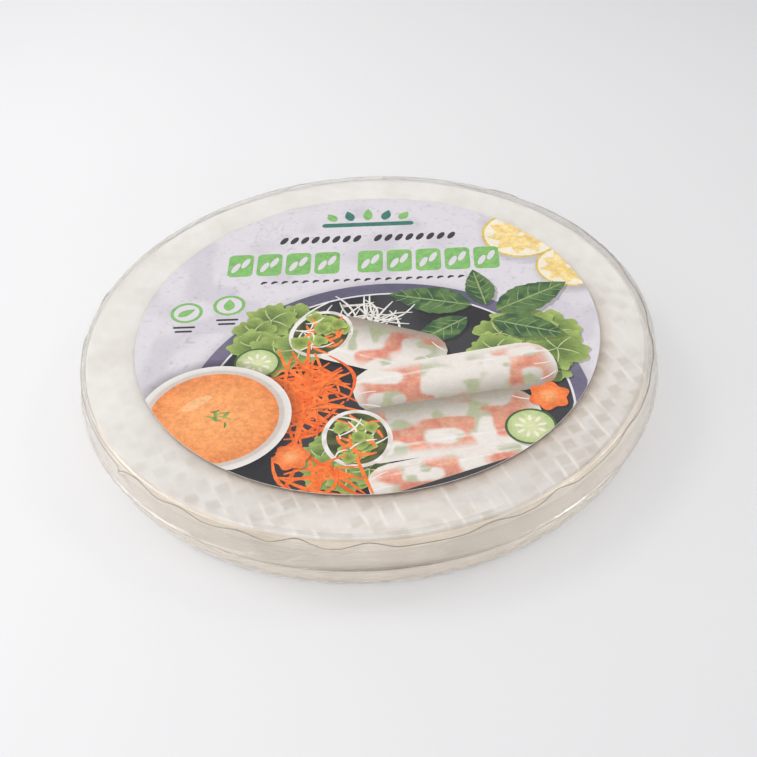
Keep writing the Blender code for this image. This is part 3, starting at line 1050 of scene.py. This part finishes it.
def design_label():
    sheet = Print()
    print_ground(sheet)
    print_citrus(sheet, (66, 60), 17)
    print_citrus(sheet, (84, 36), 14)
    print_plate(sheet, (8, -48), 76)
    print_title(sheet)
    print_marks(sheet)
    print_lettuce(sheet, (62, -14), 22, 55, 40)
    for k, (x, y, turn_by, size) in enumerate(((42, 12, 165, 34), (48, 12, 100, 24), (52, 8, 30, 34),
                                               (50, 2, -20, 30), (40, 4, 215, 26))):
        print_leaf(sheet, (x, y), size, size * 0.52, turn_by, 40 + k)
    print_lettuce(sheet, (-34, -4), 20, 52, 10)
    print_shreds(sheet, (0, 6), (9, 4), 30, (246, 244, 236), (222, 218, 204), 0.9, 18, 61)
    print_cut_roll(sheet, (4, -12), 56, 28, 158, 62)
    print_parcel(sheet, (34, -32), 78, 27, 12, 65)
    print_shreds(sheet, (-22, -40), (5, 12), 60, (255, 132, 56), (242, 98, 34), 1.5, 30, 71)
    print_lettuce(sheet, (-6, -74), 17, 58, 20)
    print_cut_roll(sheet, (28, -58), 74, 29, 190, 68)
    print_parcel(sheet, (34, -82), 66, 22, 14, 70)
    print_shreds(sheet, (-14, -84), (6, 3), 22, (255, 132, 56), (242, 98, 34), 1.5, 24, 73)
    print_carrot(sheet, (68, -44), 8.0, 20)
    print_carrot(sheet, (-26, -72), 7.0, 12)
    for place, radius in (((-42, -20), 9.0), ((60, -60), 9.4)):
        print_cucumber(sheet, place, radius, 12)
    print_dish(sheet, (-56, -50), 29)
    return sheet.shapes


def signed_area(outline):
    x, y = outline.T
    return (x * np.roll(y, -1) - y * np.roll(x, -1)).sum() / 2


def clipped(outline, radius):
    """The outline, anticlockwise, with what lies outside the label drawn in to its edge."""
    away = np.hypot(outline[:, 0], outline[:, 1])
    drawn_in = outline * np.minimum(1, radius / np.maximum(away, 1e-6))[:, None]
    return drawn_in if signed_area(drawn_in) > 0 else drawn_in[::-1]


def build_label(material):
    """The label's disc; its top face is cut along the outline of every printed shape."""
    radius = LABEL_RADIUS / MM
    ground, *shapes = design_label()
    shapes = [(clipped(outline, radius - 0.05), paint) for outline, paint in shapes]
    shapes = [ground] + [(outline, paint) for outline, paint in shapes if signed_area(outline) > 0.3]
    outlines = [outline for outline, _ in shapes]
    spacing = 0.85
    rows = np.arange(-radius, radius, spacing * 0.866)
    columns = np.arange(-radius, radius, spacing)
    grid = np.array([(x + spacing * (k % 2) / 2, y) for k, y in enumerate(rows) for x in columns])
    grid = grid[np.hypot(grid[:, 0], grid[:, 1]) < radius - 0.6]
    points, loops, count = [], [], 0
    for outline in outlines:
        points.append(outline)
        loops.append(list(range(count, count + len(outline))))
        count += len(outline)
    points = np.concatenate(points + [grid])
    flat, _, faces, _, _, sources = delaunay_2d_cdt([Vector(p) for p in points], [], loops, 1, 1e-4)
    flat = np.array([tuple(p) for p in flat])
    faces = np.array(faces)
    corner = flat[faces]
    colours = np.zeros((len(faces), 3, 3))
    covered = [[] for _ in shapes]
    for face, source in enumerate(sources):
        for shape in source:
            covered[shape].append(face)
    first, second = corner[:, 1] - corner[:, 0], corner[:, 2] - corner[:, 0]
    face_area = np.abs(first[:, 0] * second[:, 1] - first[:, 1] * second[:, 0]) / 2
    for (outline, paint), members in zip(shapes, covered):
        if members and face_area[members].sum() < 1.5 * signed_area(outline) + 1:
            colours[members] = paint(colours[members], corner[members][..., 0], corner[members][..., 1])
    turned = spin(flat, -2.5, np.array(LABEL_CENTRE) / MM) * MM
    away = np.hypot(*(turned - LABEL_CENTRE).T)
    angle = np.arctan2(turned[:, 1], turned[:, 0])
    lift = 0.02 * MM * waves(angle, (2, 3, 5), 95) * smoothstep(0.4, 1.0, away / LABEL_RADIUS)
    top = LABEL_HIGH[2] - 0.05 * MM + lift
    surface = np.column_stack([turned, top])
    under = len(flat)
    lookup = {tuple(np.round(p, 3)): k for k, p in enumerate(flat)}
    rim = [lookup[tuple(np.round(p, 3))] for p in outlines[0]]
    lower = surface[rim] - (0, 0, 0.18 * MM)
    all_faces = faces.tolist()
    for k in range(len(rim)):
        after = (k + 1) % len(rim)
        all_faces.append((rim[k], under + k, under + after, rim[after]))
    all_faces.append([under + k for k in range(len(rim))][::-1])
    piece = add_piece("paper_label", np.concatenate([surface, lower]), all_faces, material)
    ink = piece.data.color_attributes.new("print", "FLOAT_COLOR", "CORNER")
    paper = np.append(linear(246, 244, 244), 1.0)
    values = np.tile(paper, (len(piece.data.loops), 1))
    values[:len(faces) * 3, :3] = colours.reshape(-1, 3)
    ink.data.foreach_set("color", values.ravel())
    piece.data.set_sharp_from_angle(angle=math.radians(40))
    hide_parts("printed_label")
    return piece


def main():
    bpy.context.scene.view_settings.view_transform = "Standard"
    build_camera()
    build_lights()
    build_stage(lit_floor("tent_floor"))
    case = clear_plastic("case_plastic", (0.99, 0.985, 0.975), 0.03, 0.15 * MM, 35 * MM, 0.35)
    inner = clear_plastic("tray_plastic", (0.99, 0.985, 0.975), 0.03, 0.15 * MM, 35 * MM, 0.6)
    film = clear_plastic("film_plastic", (0.99, 0.99, 0.99), 0.05, 0.04 * MM, 6 * MM, 0.5)
    paper = rice_paper("rice_sheet", 0.05 * MM)
    build_stack(paper)
    build_top_sheet(paper)
    build_tray(inner)
    build_lid(case)
    build_film(film)
    build_label(printed_paper("coated_paper"))


main()
